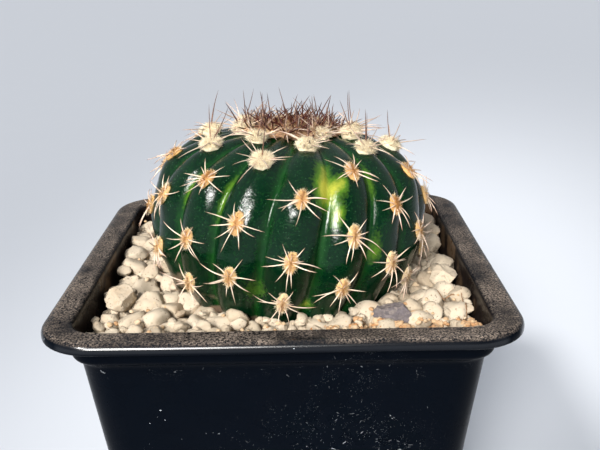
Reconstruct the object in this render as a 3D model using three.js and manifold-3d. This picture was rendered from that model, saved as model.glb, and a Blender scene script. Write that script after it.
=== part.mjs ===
// Potted round cactus: a ribbed globular plant in a square nursery pot, dressed with pumice.
// Millimetres, +Z up. The origin is the centre of the pot's base and the front faces -Y.

import * as THREE from 'three';
import { mergeVertices } from 'three/addons/utils/BufferGeometryUtils.js';
import Module from 'manifold-3d';

const wasm = await Module();
wasm.setup();

// Pot
const potHeight = 80;
const rimHalf = 45; // half the outer width of the lip
const rimCorner = 11;
const lipDepth = 2.2;
const rimTopWidth = 4.7; // flat top of the lip, before it rounds over into the pot
const collarHalf = 40; // upright band under the lip
const collarDepth = 6.4;
const stepDepth = 8.4; // where the band has narrowed into the tapered body
const bodyHalfAtRim = 39.7; // the body's sides, carried on up to the rim's height
const bodyTaper = 0.1114; // half width lost for each millimetre down
const bodyCorner = 7;
const wall = 1;
const footHeight = 2;
const footWidth = 3.6;
const floorThickness = 1.3;
const drainRadius = 3.5;
const drainSpacing = 16;
const cornerSteps = 3;

// Filling
const gap = 0.35; // clearance between touching pieces
const mixTop = 65.6;
const bedBottom = mixTop + gap;
const bedTop = 74.6; // the level that the pebbles of the dressing are sunk into
const pebblePitch = 7.2;
const pebbleSize = 3.3;

// Plant
const ribCount = 17;
const columnsPerRib = 6;
const plantX = 0.8;
const plantY = -0.25;
const plantZ = potHeight + 6.4; // the level where the body is widest
const leanBack = 4; // degrees that the plant leans away from the front
const leanRight = 3;
const plantRadius = 29.9; // at the rib crests, where the body is widest
const upperHeight = 21.4; // from the widest level up to the crown
const upperFullness = 3; // exponent of the rounded outline above the widest level
const lowerHeight = 32.8;
const lowerFullness = 1.5;
const furrowDepth = 2.1;
const firstRibTurn = 1.2; // degrees from the front towards +X
const ribWander = 1; // degrees that the ribs stray from even spacing, most at the front
const ribTwist = 0.215; // degrees for each millimetre up along a rib
const ribTwistGrowth = 0.006; // added degrees for each square millimetre
const rootRadius = 4.5;
const rootLength = 12;

// Areoles: the spine cushions, in a spiral where each rib's row stands 7/17 of a step higher
const areolesPerRib = 3;
const spiralShare = 7 / ribCount;
const lowestStep = -0.5;
const levelAtZero = 0.7; // millimetres along the rib above the widest level
const stepLength = 10.7;
const stepGrowth = 1.17; // the steps lengthen towards the crown
const woollyLevel = 20.5; // areoles above this level carry thick wool
const spineRadius = 0.27;

// Crown
const crownRadius = 7.6;
const crownHeight = 1.7;
const crownSpines = 26;

const degrees = Math.PI / 180;

// Repeatable random numbers, so that the piece is the same each time it is built.
function randomSource(seed) {
  let state = seed;
  return () => {
    state = (state * 16807) % 2147483647;
    return (state - 1) / 2147483646;
  };
}

// Leaves only merged positions and an index in a closed geometry.
function closed(geometry) {
  const plain = geometry.clone();
  plain.deleteAttribute('normal');
  plain.deleteAttribute('uv');
  return mergeVertices(plain, 1e-4);
}

function toSolid(geometry) {
  const plain = closed(geometry);
  return new wasm.Manifold(new wasm.Mesh({
    numProp: 3,
    vertProperties: new Float32Array(plain.attributes.position.array),
    triVerts: new Uint32Array(plain.index.array),
  }));
}

function toGeometry(solid) {
  const mesh = solid.getMesh();
  const geometry = new THREE.BufferGeometry();
  geometry.setAttribute('position', new THREE.BufferAttribute(new Float32Array(mesh.vertProperties), 3));
  geometry.setIndex(new THREE.BufferAttribute(new Uint32Array(mesh.triVerts), 1));
  return geometry;
}

function joinAll(solids) {
  return solids.reduce((whole, next) => whole.add(next));
}

// The outline of a square with rounded corners, anticlockwise from above.
function roundedSquare(half, corner) {
  const shape = new THREE.Shape();
  const centre = half - corner;
  const quarter = Math.PI / 2;
  shape.absarc(centre, centre, corner, 0, quarter);
  shape.absarc(-centre, centre, corner, quarter, 2 * quarter);
  shape.absarc(-centre, -centre, corner, 2 * quarter, 3 * quarter);
  shape.absarc(centre, -centre, corner, 3 * quarter, 4 * quarter);
  return shape.getPoints(cornerSteps);
}

// A closed skin through a stack of rounded squares [half width, corner radius, height],
// capped flat across the first and the last one.
function squareLoft(rings) {
  const positions = [];
  const index = [];
  let count = 0;
  for (const [half, corner, z] of rings) {
    const outline = roundedSquare(half, corner);
    count = outline.length;
    outline.forEach((point) => positions.push(point.x, point.y, z));
  }
  for (let ring = 0; ring < rings.length - 1; ring += 1) {
    for (let j = 0; j < count; j += 1) {
      const a = ring * count + j;
      const b = ring * count + (j + 1) % count;
      index.push(a, b, b + count, a, b + count, a + count);
    }
  }
  const firstCentre = positions.length / 3;
  const lastRing = (rings.length - 1) * count;
  positions.push(0, 0, rings[0][2], 0, 0, rings[rings.length - 1][2]);
  for (let j = 0; j < count; j += 1) {
    const next = (j + 1) % count;
    index.push(firstCentre, next, j, firstCentre + 1, lastRing + j, lastRing + next);
  }
  const geometry = new THREE.BufferGeometry();
  geometry.setAttribute('position', new THREE.Float32BufferAttribute(positions, 3));
  geometry.setIndex(index);
  return closed(geometry);
}

function bodyHalf(z) {
  return bodyHalfAtRim - bodyTaper * (potHeight - z);
}

function makePot() {
  const innerRim = rimHalf - rimTopWidth;
  const innerCorner = rimCorner - rimTopWidth;
  const innerWall = collarHalf - wall;
  const collarCorner = rimCorner - (rimHalf - collarHalf);
  const baseHalf = bodyHalf(0);
  const floorTop = footHeight + floorThickness;
  const edge = 1.3; // rounding of the lip's outer edge
  const lipBottom = potHeight - lipDepth;
  const collarBottom = potHeight - collarDepth;
  const stepBottom = potHeight - stepDepth;
  const shell = toSolid(squareLoft([
    [baseHalf - footWidth - 0.6, bodyCorner - footWidth, footHeight],
    [baseHalf - footWidth, bodyCorner - footWidth, 0],
    [baseHalf - 0.6, bodyCorner - 0.6, 0],
    [baseHalf + 0.05, bodyCorner, 0.9],
    [bodyHalf(stepBottom), bodyCorner, stepBottom],
    [collarHalf - 1.4, collarCorner, stepBottom + 0.7],
    [collarHalf - 0.3, collarCorner, collarBottom + 0.3],
    [collarHalf, collarCorner, collarBottom + 1.2],
    [collarHalf, collarCorner, lipBottom],
    [rimHalf - 0.5, rimCorner - 0.5, lipBottom],
    [rimHalf, rimCorner, lipBottom + 0.5],
    [rimHalf, rimCorner, potHeight - edge],
    [rimHalf - 0.3 * edge, rimCorner - 0.3 * edge, potHeight - 0.3 * edge],
    [rimHalf - edge, rimCorner - edge, potHeight],
    [innerRim, innerCorner, potHeight],
    [innerWall + 0.4, collarCorner - 0.6, potHeight - 0.4],
    [innerWall, collarCorner - wall, potHeight - 1.3],
    [innerWall, collarCorner - wall, collarBottom + 0.4],
    [bodyHalf(stepBottom) - wall, bodyCorner - wall, stepBottom - 0.4],
    [bodyHalf(floorTop + 1) - wall, bodyCorner - wall, floorTop + 1],
    [bodyHalf(floorTop) - wall - 1, bodyCorner - wall - 1, floorTop],
  ]));
  const drains = [[0, 0], [1, 1], [-1, 1], [-1, -1], [1, -1]].map(([x, y]) => {
    const hole = new THREE.CylinderGeometry(drainRadius, drainRadius, 3 * floorThickness, 16);
    hole.rotateX(Math.PI / 2);
    hole.translate(x * drainSpacing, y * drainSpacing, footHeight + floorThickness / 2);
    return toSolid(hole);
  });
  return toGeometry(shell.subtract(joinAll(drains)));
}

// The space inside the pot, drawn in by the clearance, between two heights.
function potInside(bottom, top) {
  const stepBottom = potHeight - stepDepth - 0.4;
  const innerWall = collarHalf - wall - gap;
  const innerCorner = rimCorner - (rimHalf - collarHalf) - wall;
  const rings = [[bodyHalf(bottom) - wall - gap, bodyCorner - wall, bottom]];
  if (top <= stepBottom) {
    rings.push([bodyHalf(top) - wall - gap, bodyCorner - wall, top]);
  } else {
    rings.push([bodyHalf(stepBottom) - wall - gap, bodyCorner - wall, stepBottom]);
    rings.push([innerWall, innerCorner, potHeight - collarDepth + 0.5]);
    rings.push([innerWall, innerCorner, top]);
  }
  return squareLoft(rings);
}

// The plant is modelled round its own axis, with its widest level at height 0.
// Crest radius and height of its outline at a turn from -90 degrees (underside) through 0
// (the widest level) to 90 (the crown).
function outlineAt(turn) {
  const fullness = turn > 0 ? upperFullness : lowerFullness;
  const height = turn > 0 ? upperHeight : lowerHeight;
  const across = Math.abs(Math.cos(turn)) ** (2 / fullness);
  const along = Math.abs(Math.sin(turn)) ** (2 / fullness);
  return new THREE.Vector2(plantRadius * across, Math.sign(turn) * height * along);
}

// The outline as a fine polyline with the length from the widest level at each point.
function measuredOutline(direction) {
  const points = [];
  let length = 0;
  let last = outlineAt(0);
  for (let step = 0; step <= 400; step += 1) {
    const point = outlineAt(direction * (step / 400) * 90 * degrees);
    length += point.distanceTo(last);
    last = point;
    points.push({ point, level: direction * length });
  }
  return points;
}

const upperOutline = measuredOutline(1);
const lowerOutline = measuredOutline(-1);

// Crest radius and height at a level: millimetres along the rib from the widest place.
function crestAt(level) {
  const outline = level >= 0 ? upperOutline : lowerOutline;
  const after = outline.findIndex((entry) => Math.abs(entry.level) >= Math.abs(level));
  const b = after < 0 ? outline[outline.length - 1] : outline[Math.max(after, 1)];
  const a = outline[Math.max((after < 0 ? outline.length : Math.max(after, 1)) - 1, 0)];
  const span = Math.abs(b.level - a.level) || 1;
  const share = Math.min(Math.abs(level - a.level) / span, 1);
  return a.point.clone().lerp(b.point, share);
}

// Degrees from the front towards +X of a place on the ribs' own even scale.
function azimuthOf(ribAngle, level) {
  const fade = Math.cos((ribAngle / 2) * degrees) ** 2;
  const wander = ribWander * fade * Math.sin((ribCount / 4) * ribAngle * degrees);
  const twist = (ribTwist + ribTwistGrowth * Math.abs(level)) * level;
  return firstRibTurn + ribAngle + wander + twist;
}

// How deep the surface lies under the crests: a low rounded rib between narrow furrows.
function furrowAt(ribAngle, radius) {
  const share = (ribAngle * ribCount) / 360;
  const across = 2 * Math.abs(share - Math.round(share));
  return furrowDepth * across ** 2 * Math.min(radius / plantRadius, 1) ** 1.2;
}

function plantPoint(ribAngle, level) {
  const crest = crestAt(level);
  const azimuth = azimuthOf(ribAngle, level) * degrees;
  return new THREE.Vector3(crest.x * Math.sin(azimuth), -crest.x * Math.cos(azimuth), crest.y);
}

const upperEnd = upperOutline[upperOutline.length - 1].level;
const buriedLevels = [-40, -35, -30, -24, -18, -12, -6];
const ribLevels = [...buriedLevels, 0, 5, 10, 14.5, 18.5, 22.5, 26.5, 31, 36];

function makePlantBody() {
  const neckZ = crestAt(buriedLevels[0]).y - 3;
  const profile = [
    new THREE.Vector2(0, neckZ - rootLength),
    new THREE.Vector2(rootRadius * 0.45, neckZ - rootLength + 1),
    new THREE.Vector2(rootRadius * 0.8, neckZ - rootLength * 0.4),
    new THREE.Vector2(rootRadius, neckZ),
    ...ribLevels.map(crestAt),
    new THREE.Vector2(0, crestAt(upperEnd).y),
  ];
  const body = new THREE.LatheGeometry(profile, ribCount * columnsPerRib);
  body.rotateX(Math.PI / 2);
  const spot = body.attributes.position;
  for (let i = 0; i < spot.count; i += 1) {
    const radius = Math.hypot(spot.getX(i), spot.getY(i));
    const ribAngle = Math.atan2(spot.getX(i), -spot.getY(i)) / degrees;
    const z = spot.getZ(i);
    const row = ribLevels.findIndex((entry) => Math.abs(crestAt(entry).y - z) < 1e-3);
    const level = row < 0 ? ribLevels[0] : ribLevels[row];
    const inset = row < 0 ? radius : radius - furrowAt(ribAngle, radius);
    const azimuth = azimuthOf(ribAngle, level) * degrees;
    spot.setXYZ(i, inset * Math.sin(azimuth), -inset * Math.cos(azimuth), z);
  }
  return closed(body);
}

// Stands a group or geometry, drawn round the plant's own axis, in its place in the pot.
function placePlant(thing) {
  const lean = new THREE.Euler(-leanBack * degrees, leanRight * degrees, 0, 'ZYX');
  const place = new THREE.Matrix4().makeRotationFromEuler(lean);
  place.setPosition(plantX, plantY, plantZ);
  thing.applyMatrix4(place);
}

// The plant's outline in the ground, widened by the clearance, to cut its hollow.
function plantHollow() {
  const neckZ = crestAt(buriedLevels[0]).y - 3;
  const profile = [
    new THREE.Vector2(0, neckZ - rootLength - gap),
    new THREE.Vector2(rootRadius * 0.8, neckZ - rootLength - gap),
    new THREE.Vector2(rootRadius + 0.6, neckZ - rootLength * 0.5),
    new THREE.Vector2(rootRadius + 0.6, neckZ - 0.5),
  ];
  [...buriedLevels, 0].forEach((level) => {
    const crest = crestAt(level);
    profile.push(new THREE.Vector2(crest.x + 0.5, crest.y - 0.35));
  });
  profile.push(new THREE.Vector2(0, 1));
  const hollow = new THREE.LatheGeometry(profile, 40);
  hollow.rotateX(Math.PI / 2);
  placePlant(hollow);
  return toSolid(hollow);
}

// A rough pebble: a twenty-sided ball with its corners pushed in and out.
function makeStone(size, detail, seed) {
  const random = randomSource(seed);
  const stone = closed(new THREE.IcosahedronGeometry(1, detail));
  const spot = stone.attributes.position;
  for (let i = 0; i < spot.count; i += 1) {
    const push = 0.88 + 0.24 * random();
    spot.setXYZ(i, spot.getX(i) * push, spot.getY(i) * push, spot.getZ(i) * push);
  }
  stone.scale(size[0], size[1], size[2]);
  return stone;
}

// Larger stones lying loose on the dressing: [name, half sizes, place, turn about Z, colour].
const looseStones = [
  ['slate_chip', [4.3, 3.1, 1.9], [21.8, -26.8, 76.7], -8, '#7d7480'],
  ['pumice_stone_left', [3.9, 3.1, 2.5], [-33.8, -18.5, 76.8], 35, '#d8ccb4'],
  ['pumice_stone_right', [4.2, 3.2, 2.6], [34.4, -8.5, 76.8], 80, '#d2c4a8'],
];

function placedStone([, size, place, turn], grow) {
  const stone = makeStone(size.map((half) => half + grow), 1, 11 + Math.round(size[0] * 10));
  stone.rotateZ(turn * degrees);
  stone.translate(place[0], place[1], place[2]);
  return stone;
}

function makePumiceBed() {
  const random = randomSource(2027);
  const pieces = [toSolid(potInside(bedBottom, bedTop))];
  const reach = collarHalf - wall - gap - 1.6;
  const steps = Math.round((2 * reach) / pebblePitch);
  for (let i = 0; i <= steps; i += 1) {
    for (let j = 0; j <= steps; j += 1) {
      const x = -reach + (i * 2 * reach) / steps + (random() - 0.5) * 2.2;
      const y = -reach + (j * 2 * reach) / steps + (random() - 0.5) * 2.2;
      const scale = pebbleSize * (0.85 + 0.35 * random());
      const fromPlant = Math.hypot(x - plantX, y - plantY) - crestAt(-12).x;
      const inCorner = Math.max(Math.abs(x), Math.abs(y)) > reach || Math.abs(x) + Math.abs(y) > 1.86 * reach;
      if (fromPlant > 1.8 && !inCorner) {
        const pebble = makeStone([scale, scale * 0.85, scale * 0.75], 0, 100 + i * 31 + j);
        pebble.rotateZ(random() * 2 * Math.PI);
        pebble.translate(x, y, bedTop - 0.5);
        pieces.push(toSolid(pebble));
      }
    }
  }
  const bed = joinAll(pieces).intersect(toSolid(potInside(bedBottom, potHeight - 1.4)));
  const pockets = looseStones.map((stone) => toSolid(placedStone(stone, gap + 0.1)));
  return toGeometry(bed.subtract(plantHollow()).subtract(joinAll(pockets)));
}

function makePottingMix() {
  const floorTop = footHeight + floorThickness;
  const block = toSolid(potInside(floorTop + 1 + gap, mixTop));
  return toGeometry(block.subtract(plantHollow()));
}

// A low dome with a flat underside, standing on z = 0.
function dome(segments, height) {
  const profile = [
    new THREE.Vector2(0, 0),
    new THREE.Vector2(1, 0),
    new THREE.Vector2(0.86, 0.5 * height),
    new THREE.Vector2(0.45, 0.88 * height),
    new THREE.Vector2(0, height),
  ];
  const geometry = new THREE.LatheGeometry(profile, segments);
  geometry.rotateX(Math.PI / 2);
  return geometry;
}

// A spine from the middle of its cushion: lean is the turn from +Y (up along the rib)
// towards +X, rise is the angle above the skin.
function makeSpine(length, lean, rise, startHeight) {
  const spine = new THREE.ConeGeometry(spineRadius, length, 3);
  spine.translate(0, length / 2, 0);
  spine.rotateX(rise * degrees);
  spine.rotateZ(-lean * degrees);
  spine.translate(0, 0, startHeight);
  return toSolid(spine);
}

// The radial spines in a fan that opens sideways and down: [length, lean].
const fan = [
  [4.2, -48], [4.2, 48], [5.2, -90], [5.2, 90], [4.9, -124], [4.9, 124], [4.6, -155], [4.6, 155], [4.9, 180],
];
const woollyFan = [[4, -50], [4, 50], [4.1, -120], [4.1, 120], [4, 180]];

function makeAreole(woolly) {
  const pad = dome(6, woolly ? 1.9 : 1);
  pad.scale(woolly ? 2 : 1.25, woolly ? 2 : 1.65, 1);
  const rise = woolly ? 33 : 14;
  const start = woolly ? 0.9 : 0.4;
  const spines = (woolly ? woollyFan : fan).map(([length, lean]) => makeSpine(length, lean, rise, start));
  return toGeometry(joinAll([toSolid(pad), ...spines]));
}

function makeCrown() {
  const random = randomSource(77);
  const wool = dome(14, crownHeight);
  wool.scale(crownRadius, crownRadius, 1);
  const golden = 137.5;
  const parts = [toSolid(wool)];
  for (let i = 0; i < crownSpines; i += 1) {
    const share = (i + 0.5) / crownSpines;
    const radius = crownRadius * 0.86 * Math.sqrt(share);
    const length = 5.8 + 2.9 * random();
    const spine = new THREE.ConeGeometry(spineRadius, length, 3);
    spine.translate(0, length / 2 + 0.3, 0);
    spine.rotateX((90 - 48 * share) * degrees);
    spine.rotateZ(Math.PI);
    spine.translate(0, -radius, 0);
    spine.rotateZ(i * golden * degrees);
    parts.push(toSolid(spine));
  }
  return toGeometry(joinAll(parts));
}

// Turns a piece modelled on z = 0 so that it sits on the skin at a place on a rib.
function seatOnSkin(mesh, ribAngle, level) {
  const here = plantPoint(ribAngle, level);
  const above = plantPoint(ribAngle, level + 0.5);
  const beside = plantPoint(ribAngle + 1, level);
  const up = above.sub(here).normalize();
  const side = beside.sub(here).normalize();
  const out = side.clone().cross(up).normalize();
  const right = up.clone().cross(out).normalize();
  mesh.matrixAutoUpdate = false;
  mesh.matrix.makeBasis(right, up, out);
  mesh.matrix.setPosition(here.addScaledVector(out, gap));
  return mesh;
}

function piece(name, geometry, color, roughness) {
  const material = new THREE.MeshStandardMaterial({ color, roughness, metalness: 0 });
  const mesh = new THREE.Mesh(geometry, material);
  mesh.name = name;
  return mesh;
}

const group = new THREE.Group();
group.add(piece('pot', makePot(), '#15171a', 0.45));
group.add(piece('potting_mix', makePottingMix(), '#3a2a1d', 0.95));
group.add(piece('pumice_bed', makePumiceBed(), '#d6cab2', 0.9));
looseStones.forEach((stone) => group.add(piece(stone[0], placedStone(stone, 0), stone[4], 0.9)));

const plant = new THREE.Group();
plant.add(piece('cactus_body', makePlantBody(), '#12401f', 0.35));
const crown = piece('crown_wool_and_spines', makeCrown(), '#6a3a2c', 0.85);
crown.position.set(0, 0, crestAt(upperEnd).y + gap);
plant.add(crown);

for (let rib = 0; rib < ribCount; rib += 1) {
  const start = (rib * spiralShare) % 1;
  for (let row = 0; row < areolesPerRib; row += 1) {
    const step = row + start + (start - 1 >= lowestStep ? -1 : 0);
    const level = levelAtZero + stepLength * step + stepGrowth * step * step;
    const woolly = level > woollyLevel;
    const kind = woolly ? 'woolly_areole' : 'areole';
    const mesh = piece(`${kind}_${rib + 1}_${row + 1}`, makeAreole(woolly), '#e2c793', 0.9);
    const ribAngle = ((rib * 360) / ribCount + 180) % 360 - 180;
    plant.add(seatOnSkin(mesh, ribAngle, level));
  }
}
placePlant(plant);
group.add(plant);

export default group;
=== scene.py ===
import bpy
import bmesh
import math
import numpy as np
from mathutils import Matrix, Vector


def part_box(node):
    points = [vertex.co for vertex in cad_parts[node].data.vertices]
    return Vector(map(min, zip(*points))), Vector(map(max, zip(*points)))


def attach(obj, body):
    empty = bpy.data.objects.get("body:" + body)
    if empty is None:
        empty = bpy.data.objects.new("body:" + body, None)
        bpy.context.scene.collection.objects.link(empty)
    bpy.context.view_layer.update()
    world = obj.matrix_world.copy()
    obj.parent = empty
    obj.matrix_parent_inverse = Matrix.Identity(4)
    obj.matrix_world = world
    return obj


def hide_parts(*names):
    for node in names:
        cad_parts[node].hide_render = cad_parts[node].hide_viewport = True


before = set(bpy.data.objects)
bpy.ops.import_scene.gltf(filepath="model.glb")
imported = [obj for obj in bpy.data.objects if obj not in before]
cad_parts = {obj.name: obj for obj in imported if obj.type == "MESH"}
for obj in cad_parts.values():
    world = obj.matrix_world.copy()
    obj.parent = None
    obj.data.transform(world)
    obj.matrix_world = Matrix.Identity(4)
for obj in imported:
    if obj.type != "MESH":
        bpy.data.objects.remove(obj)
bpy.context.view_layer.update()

mm = 0.001
rad = math.pi / 180
goldenTurn = 137.508 * rad  # from one crown cluster to the next
tubeHint = [0.31, 0.12, 0.94]  # slanted, so that hardly any tube runs along it


def boxMm(node):  # a CAD node's lowest and highest corners in millimetres
    low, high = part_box(node)
    return np.array(low) / mm, np.array(high) / mm


def boxMiddle(node):  # a CAD node's middle and half sizes in millimetres
    low, high = boxMm(node)
    return (low + high) / 2, (high - low) / 2


def bell(away, width):  # 1 in the middle, fading out over a width
    return np.exp(-((away / width) ** 2))


def unit(vectors):
    return vectors / np.linalg.norm(vectors, axis=-1, keepdims=True)


def buildMesh(name, verts, faces, material=None, attributes=None, smooth=True):
    # verts come in millimetres; attributes are one number for each vertex
    mesh = bpy.data.meshes.new(name)
    mesh.from_pydata((np.asarray(verts, float) * mm).tolist(), [], [list(f) for f in faces])
    for key, values in (attributes or {}).items():
        layer = mesh.attributes.new(key, "FLOAT", "POINT")
        layer.data.foreach_set("value", np.asarray(values, dtype=np.float32))
    if material:
        mesh.materials.append(material)
    mesh.polygons.foreach_set("use_smooth", [smooth] * len(mesh.polygons))
    mesh.validate()
    mesh.update()
    piece = bpy.data.objects.new(name, mesh)
    bpy.context.scene.collection.objects.link(piece)
    return piece


class Heap:
    # collects many small closed shapes into one mesh, with per-vertex values

    def __init__(self):
        self.verts, self.faces = [], []
        self.values = {}
        self.count = 0

    def add(self, verts, faces, **values):  # faces is a list of arrays, one for each number of corners
        verts = np.asarray(verts, float)
        self.verts.append(verts)
        self.faces.extend([np.asarray(block) + self.count for block in faces])
        for key, value in values.items():
            self.values.setdefault(key, []).append(np.broadcast_to(np.asarray(value, float), (len(verts),)))
        self.count += len(verts)

    def piece(self, name, material=None):
        values = {key: np.concatenate(parts) for key, parts in self.values.items()}
        faces = [face for block in self.faces for face in block.tolist()]
        return buildMesh(name, np.concatenate(self.verts), faces, material, values)


def ringFaces(rings, count):  # four-cornered faces between closed rings of count vertices
    first = np.arange(rings - 1)[:, None] * count
    here = np.arange(count)[None, :]
    after = (here + 1) % count
    corners = [first + here, first + after, first + after + count, first + here + count]
    return np.stack(corners, -1).reshape(-1, 4)


def closedFaces(rings, count):  # the same rings, closed by a tip vertex and then a base vertex
    here = np.arange(count)
    after = (here + 1) % count
    last, tip = (rings - 1) * count, rings * count
    top = np.stack([last + here, last + after, np.full(count, tip)], 1)
    bottom = np.stack([after, here, np.full(count, tip + 1)], 1)
    return [ringFaces(rings, count), np.vstack([top, bottom])]


def taperedTube(points, radii, sides):
    # points is the middle line, radii one for each point; the last point becomes the tip
    points = np.asarray(points, float)
    rings = len(points) - 1
    ahead = unit(points[1:] - np.vstack([points[:1], points[:rings - 1]]))
    side = unit(np.cross(ahead, tubeHint))
    over = np.cross(ahead, side)
    turn = 2 * math.pi * np.arange(sides) / sides
    width = np.asarray(radii, float)[:rings, None, None]
    ring = side[:, None, :] * np.cos(turn)[None, :, None] + over[:, None, :] * np.sin(turn)[None, :, None]
    verts = (points[:rings, None, :] + width * ring).reshape(-1, 3)
    along = np.append(np.repeat(np.arange(rings) / rings, sides), [1.0, 0.0])
    return np.vstack([verts, points[-1:], points[:1]]), closedFaces(rings, sides), along


def icoBall(level):
    bm = bmesh.new()
    bmesh.ops.create_icosphere(bm, subdivisions=level, radius=1.0)
    verts = np.array([v.co[:] for v in bm.verts])
    faces = np.array([[v.index for v in f.verts] for f in bm.faces])
    bm.free()
    return verts, faces


def softNoise(points, size, seed):  # smooth noise from a few seeded waves, about -1 to 1
    source = np.random.default_rng(seed)
    total = np.zeros(len(points))
    for _ in range(7):
        wave = source.normal(size=3)
        wave *= (2 * math.pi / size) * source.uniform(0.6, 1.6) / np.linalg.norm(wave)
        total += np.sin(points @ wave + source.uniform(0, 6.28))
    return total / 3.2


def wearFlat(verts, source, sides, low, high):  # cuts a ball softly flat on random sides
    for _ in range(sides):
        direction = unit(source.normal(size=3))
        cut = source.uniform(low, high)
        verts = verts - np.clip(verts @ direction - cut, 0, None)[:, None] * direction
    return verts


class NodeTree:
    # a node tree being filled; put gives the new node, the other methods give an output

    def __init__(self, tree, place):
        self.tree = tree
        self.place = place

    def put(self, kind, links, **settings):  # links maps an input to a socket or a fixed value
        node = self.tree.nodes.new(kind)
        for key, value in settings.items():
            setattr(node, key, value)
        for key, value in links.items():
            if isinstance(value, bpy.types.NodeSocket):
                self.tree.links.new(value, node.inputs[key])
            else:
                node.inputs[key].default_value = value
        return node

    def noise(self, scale, detail=4.0, rough=0.55):
        links = {"Vector": self.place, "Scale": scale, "Detail": detail, "Roughness": rough}
        return self.put("ShaderNodeTexNoise", links).outputs["Fac"]

    def cells(self, scale):
        return self.put("ShaderNodeTexVoronoi", {"Vector": self.place, "Scale": scale}).outputs

    def spread(self, value, low, high, toLow=0.0, toHigh=1.0):
        links = {"Value": value, "From Min": low, "From Max": high, "To Min": toLow, "To Max": toHigh}
        return self.put("ShaderNodeMapRange", links, clamp=True).outputs["Result"]

    def maths(self, operation, a, b):
        return self.put("ShaderNodeMath", {0: a, 1: b}, operation=operation).outputs[0]

    def times(self, a, b):
        return self.maths("MULTIPLY", a, b)

    def plus(self, a, b):
        return self.maths("ADD", a, b)

    def vectors(self, operation, a, b):
        return self.put("ShaderNodeVectorMath", {0: a, 1: b}, operation=operation).outputs[0]

    def split(self, vector):
        return self.put("ShaderNodeSeparateXYZ", {0: vector}).outputs

    def blend(self, share, a, b, mode="MIX"):
        links = {0: share, 6: a, 7: b}
        return self.put("ShaderNodeMix", links, data_type="RGBA", blend_type=mode).outputs[2]

    def tint(self, body, mask, share, colour):  # lays a colour over the body where a mask is high
        return self.blend(self.times(mask, share), body, colour)

    def fray(self, value, noise, amount):  # makes the edge of a mask ragged
        return self.plus(value, self.times(self.maths("SUBTRACT", noise, 0.5), amount))

    def ramp(self, value, stops):
        node = self.put("ShaderNodeValToRGB", {"Fac": value})
        band = node.color_ramp
        while len(band.elements) < len(stops):
            band.elements.new(0.5)
        for element, (place, colour) in zip(band.elements, stops):
            element.position = place
            element.color = colour
        return node.outputs["Color"]

    def use(self, group, place=None, **values):  # one of the shared groups, with its own values
        links = {key.replace("_", " "): value for key, value in values.items()}
        links["Vector"] = self.place if place is None else place
        return self.put("ShaderNodeGroup", links, node_tree=group).outputs["Mask"]


class Finish(NodeTree):
    # a material with one Principled shader

    def __init__(self, name, **sockets):
        self.material = bpy.data.materials.new(name)
        self.material.use_nodes = True
        super().__init__(self.material.node_tree, None)
        self.place = self.put("ShaderNodeTexCoord", {}).outputs["Object"]
        self.shader = self.tree.nodes["Principled BSDF"].inputs
        for key, value in sockets.items():
            self.shader[key.replace("_", " ")].default_value = value

    def stored(self, key):
        return self.put("ShaderNodeAttribute", {}, attribute_name=key).outputs["Fac"]

    def feed(self, key, socket):
        self.tree.links.new(socket, self.shader[key])

    def bump(self, height, strength, distance):
        links = {"Height": height, "Strength": strength, "Distance": distance}
        self.feed("Normal", self.put("ShaderNodeBump", links).outputs["Normal"])


def newGroup(name, values):  # a shader node group with a place, some numbers and one mask out
    group = bpy.data.node_groups.new(name, "ShaderNodeTree")
    group.interface.new_socket(name="Vector", in_out="INPUT", socket_type="NodeSocketVector")
    for key, value in values.items():
        socket = group.interface.new_socket(name=key, in_out="INPUT", socket_type="NodeSocketFloat")
        socket.default_value = value
    group.interface.new_socket(name="Mask", in_out="OUTPUT", socket_type="NodeSocketFloat")
    given = group.nodes.new("NodeGroupInput").outputs
    return NodeTree(group, given["Vector"]), given


def giveMask(t, mask):
    t.tree.links.new(mask, t.tree.nodes.new("NodeGroupOutput").inputs["Mask"])
    return t.tree


def makeDustGroup():  # fine dust that gathers on faces that look up
    t, given = newGroup("settledDust", {"Scale": 200.0, "Cover": 0.5, "Side Share": 0.2})
    up = t.split(t.put("ShaderNodeNewGeometry", {}).outputs["Normal"])["Z"]
    upShare = t.maths("MAXIMUM", t.spread(up, 0.55, 0.97), given["Side Share"])
    broad = t.spread(t.noise(t.times(given["Scale"], 0.05), 3.0), 0.32, 0.62, 0.15, 1.0)
    fine = t.spread(t.noise(given["Scale"], 3.0, 0.8), 0.44, 0.62)
    return giveMask(t, t.times(t.times(t.times(broad, fine), given["Cover"]), upShare))


def makeSpecksGroup():  # small round dots, kept where a broad noise is high
    t, given = newGroup("fineSpecks", {"Scale": 600.0, "Size": 0.25, "Spread": 0.5})
    cells = t.cells(given["Scale"])
    pick = t.put("ShaderNodeSeparateColor", {0: cells["Color"]}).outputs["Red"]
    dot = t.maths("LESS_THAN", cells["Distance"], t.times(given["Size"], pick))
    broad = t.noise(t.times(given["Scale"], 0.06), 3.0)
    return giveMask(t, t.times(dot, t.maths("GREATER_THAN", t.plus(broad, given["Spread"]), 0.95)))


def makeMottleGroup():  # two-scale cloudiness from 0 to 1
    t, given = newGroup("mottle", {"Scale": 200.0, "Contrast": 0.3})
    fine = t.noise(t.times(given["Scale"], 4.3), 5.0, 0.65)
    mean = t.plus(t.times(t.noise(given["Scale"], 3.0), 0.6), t.times(fine, 0.4))
    low = t.maths("SUBTRACT", 0.5, given["Contrast"])
    return giveMask(t, t.spread(mean, low, t.plus(0.5, given["Contrast"])))


settledDust = makeDustGroup()
fineSpecks = makeSpecksGroup()
mottle = makeMottleGroup()


potHigh = boxMm("pot")[1]
rimZ = float(potHigh[2])
rimHalf = float(potHigh[0])

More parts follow.
